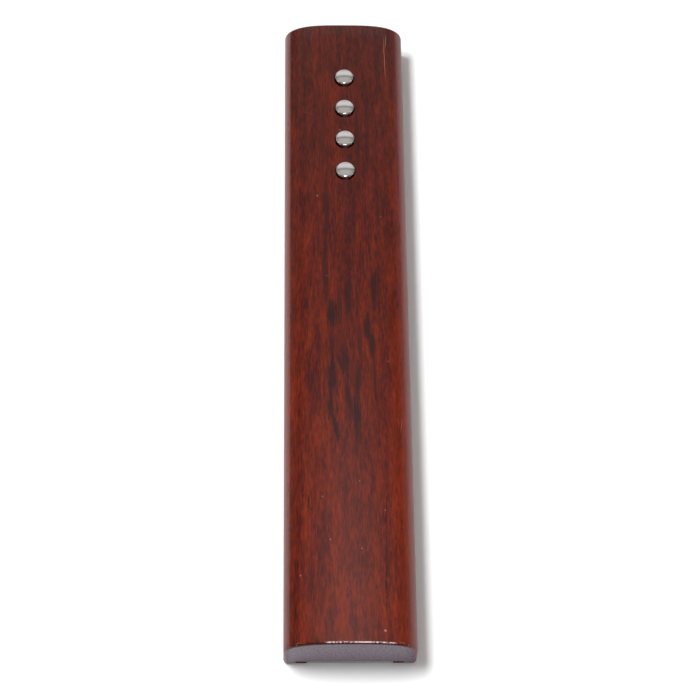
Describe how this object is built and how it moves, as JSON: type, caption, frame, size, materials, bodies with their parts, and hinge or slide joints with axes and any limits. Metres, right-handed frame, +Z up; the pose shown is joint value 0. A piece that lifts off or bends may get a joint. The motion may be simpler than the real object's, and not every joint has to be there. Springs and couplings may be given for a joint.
{
  "type": "wooden remote control",
  "caption": "Slim crowned hardwood bar remote control with a line of domed metal push buttons, an infrared window in one end and a sliding battery door underneath.",
  "frame": {"origin": "centre of the flat underside that the remote rests on", "axes": "+Z up out of the crowned, buttoned side; +Y along the length towards the infrared window; +X across the width"},
  "size_m": [0.045, 0.25, 0.0227],
  "materials": {
    "hardwood": "red-brown straight-grained hardwood under a satin clear lacquer",
    "cover_metal": "fine brushed, clear anodised",
    "button_chrome": "polished plating",
    "screw_steel": "bright zinc",
    "nickel_plate": "dull nickel",
    "board_laminate": "green solder mask",
    "black_plastic": "fine moulded texture",
    "ivory_plastic": "satin",
    "emitter_resin": "clear tinted resin",
    "smoked_window": "polished dark red",
    "resonator_shell": "dipped coating",
    "capacitor_sleeve": "shrink sleeve",
    "resistor_body": "lacquered",
    "battery_jacket": "satin jacket",
    "red_insulation": "flexible insulation",
    "black_insulation": "flexible insulation"
  },
  "bodies": {
    "handset": {"wooden_body": "hardwood", "base_plate": "cover_metal", "circuit_board": "board_laminate", "infrared_emitter": "emitter_resin", "infrared_window": "smoked_window", "encoder_chip": "black_plastic", "ceramic_resonator": "resonator_shell", "capacitor": "capacitor_sleeve", "driver_transistor": "black_plastic", "resistor_1": "resistor_body", "resistor_2": "resistor_body", "battery_tray": "black_plastic", "battery_1": "battery_jacket", "battery_2": "battery_jacket", "battery_spring_1": "nickel_plate", "battery_spring_2": "nickel_plate", "contact_plate_1": "nickel_plate", "contact_plate_2": "nickel_plate", "positive_lead": "red_insulation", "negative_lead": "black_insulation", "tact_switch_1": "black_plastic", "tact_switch_2": "black_plastic", "tact_switch_3": "black_plastic", "tact_switch_4": "black_plastic", "plate_screw_1": "screw_steel", "board_screw_1": "screw_steel", "plate_screw_2": "screw_steel", "board_screw_2": "screw_steel", "plate_screw_3": "screw_steel", "board_screw_3": "screw_steel", "plate_screw_4": "screw_steel", "board_screw_4": "screw_steel"},
    "button_1": {"button_cap_1": "button_chrome", "switch_plunger_1": "ivory_plastic"},
    "button_2": {"button_cap_2": "button_chrome", "switch_plunger_2": "ivory_plastic"},
    "button_3": {"button_cap_3": "button_chrome", "switch_plunger_3": "ivory_plastic"},
    "button_4": {"button_cap_4": "button_chrome", "switch_plunger_4": "ivory_plastic"},
    "door": {"battery_door": "cover_metal"}
  },
  "joints": [
    {"name": "button_1_press", "type": "slide", "parent": "handset", "child": "button_1", "axis": [0, 0, -1], "range_m": [0, 0.0005], "stiffness_N_per_m": 3000},
    {"name": "button_2_press", "type": "slide", "parent": "handset", "child": "button_2", "axis": [0, 0, -1], "range_m": [0, 0.0005], "stiffness_N_per_m": 3000},
    {"name": "button_3_press", "type": "slide", "parent": "handset", "child": "button_3", "axis": [0, 0, -1], "range_m": [0, 0.0005], "stiffness_N_per_m": 3000},
    {"name": "button_4_press", "type": "slide", "parent": "handset", "child": "button_4", "axis": [0, 0, -1], "range_m": [0, 0.0005], "stiffness_N_per_m": 3000},
    {"name": "door_slide", "type": "slide", "parent": "handset", "child": "door", "axis": [0, -1, 0], "range_m": [0, 0.062]}
  ]
}
